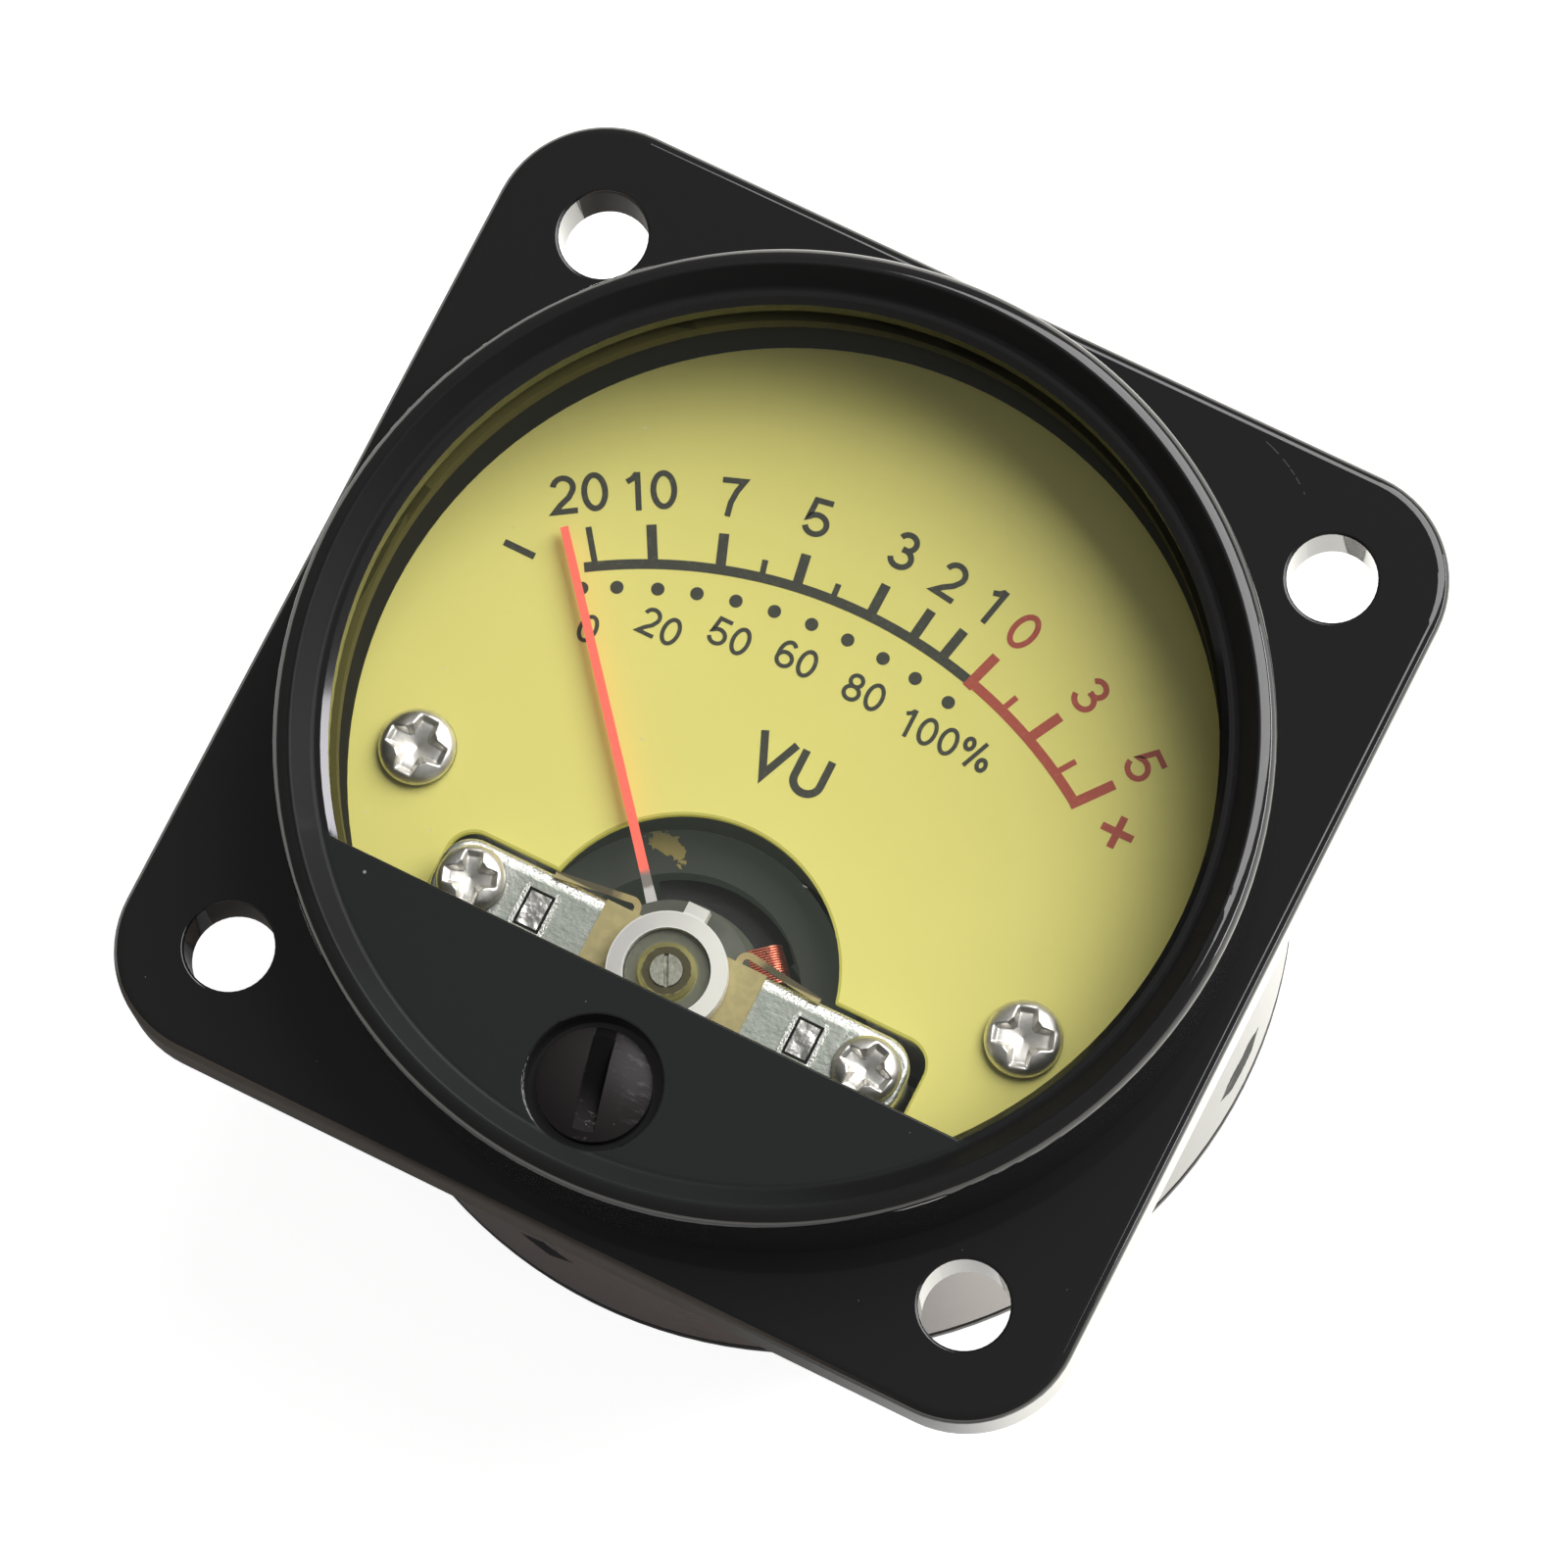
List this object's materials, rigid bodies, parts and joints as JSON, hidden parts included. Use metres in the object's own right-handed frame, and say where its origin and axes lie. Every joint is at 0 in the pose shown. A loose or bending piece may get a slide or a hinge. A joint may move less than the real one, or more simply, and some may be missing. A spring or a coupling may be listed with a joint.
{
  "type": "panel meter",
  "caption": "Square-flange level meter with a round bezel, a D-shaped window over a printed dial, a swinging pointer, a slotted zero screw and a round can behind.",
  "frame": {"origin": "centre of the four-hole pattern on the flange's back face, the mounting plane", "axes": "+Z out of the dial towards the reader, +Y the dial's up, +X to the reader's right"},
  "size_m": [0.045, 0.045, 0.0337],
  "materials": {
    "black_gloss": "glossy black moulding",
    "clear_window": "clear, polished",
    "black_matte": "matte black moulding",
    "dial": "printed, glowing from behind",
    "nickel": "nickel plated",
    "steel": "plain steel",
    "bronze": "matte bronze strip",
    "brass": "turned",
    "tinned_brass": "tinned",
    "copper": "enamelled copper wire",
    "aluminium": "bare",
    "magnet": "ground",
    "grey_plastic": "punched sheet",
    "white_plastic": "white moulding",
    "pointer_paint": "coral red paint",
    "lamp_glass": "clear bulb",
    "board": "laminated paper board"
  },
  "bodies": {
    "housing": {"front_shell": "black_gloss", "window_lens": "clear_window", "rear_can": "black_matte", "back_cover": "black_matte", "coil_terminals": "tinned_brass", "lamp_terminals": "tinned_brass", "spacer_ring": "black_matte", "dial_plate": "dial", "dial_screws": "nickel", "bridge_bar": "nickel", "bridge_screws": "nickel", "bridge_posts": "steel", "spring_clip": "bronze", "bridge_bush": "brass", "upper_jewel_screw": "brass", "upper_jewel_nut": "brass", "insulating_washer": "grey_plastic", "core_magnet": "magnet", "core_spacers": "aluminium", "yoke_ring": "steel", "movement_frame": "white_plastic", "lower_jewel_screw": "brass", "lower_jewel_nut": "brass", "light_box": "white_plastic", "lamp_bulbs": "lamp_glass", "lamp_holders": "black_matte", "terminal_board": "board", "board_screws": "nickel"},
    "movement": {"pointer": "pointer_paint", "pointer_hub": "brass", "balance_weights": "brass", "moving_coil": "copper", "coil_former": "aluminium", "upper_pivot": "steel", "lower_pivot": "steel", "upper_hairspring": "bronze", "lower_hairspring": "bronze"},
    "zero_screw": {"zero_screw": "black_gloss", "zero_screw_clip": "steel"},
    "zero_lever": {"zero_lever": "white_plastic"}
  },
  "joints": [
    {"name": "pointer_swing", "type": "hinge", "parent": "housing", "child": "movement", "pos_m": [0, -0.0105, 0], "axis": [0, 0, -1], "range_deg": [-2.6, 82.4], "stiffness_Nm_per_rad": 0.000002, "deforming": ["upper_hairspring", "lower_hairspring"]},
    {"name": "zero_screw_turn", "type": "hinge", "parent": "housing", "child": "zero_screw", "pos_m": [0, -0.01665, 0], "axis": [0, 0, 1], "range_deg": [-60, 60]},
    {"name": "zero_lever_swing", "type": "hinge", "parent": "housing", "child": "zero_lever", "pos_m": [0, -0.0105, 0], "axis": [0, 0, 1], "range_deg": [-6.42, 6.42]}
  ],
  "couplings": [
    {"joint": "zero_lever_swing", "follows": "zero_screw_turn", "ratio": -0.107}
  ]
}
